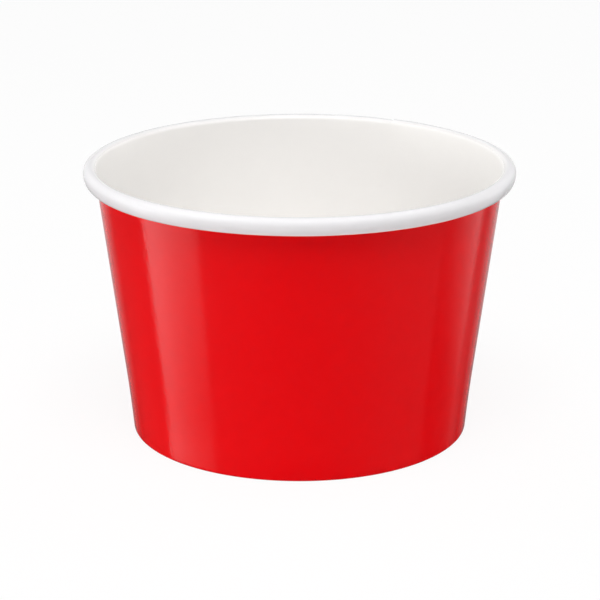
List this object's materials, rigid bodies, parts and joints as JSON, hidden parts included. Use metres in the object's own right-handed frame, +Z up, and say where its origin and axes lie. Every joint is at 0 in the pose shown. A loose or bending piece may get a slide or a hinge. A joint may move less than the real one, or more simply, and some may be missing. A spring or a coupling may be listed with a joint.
{
  "type": "paper ice cream cup",
  "caption": "Tapered round paper cup with a rolled white rim, a plain red printed wall, a lapped side seam and a recessed bottom disc gripped by a hem.",
  "frame": {"origin": "centre of the foot, on the plane that the cup stands on", "axes": "+Z up along the cup's axis; the middle of the side seam lies 57.3 degrees from +X toward +Y, so it is at the back right when the cup is seen along +Y"},
  "size_m": [0.095, 0.095, 0.0607],
  "materials": {
    "printed_board": "satin",
    "white_board": "matte"
  },
  "bodies": {
    "root": {"sidewall": "printed_board", "bottom_disc": "white_board"}
  },
  "joints": []
}
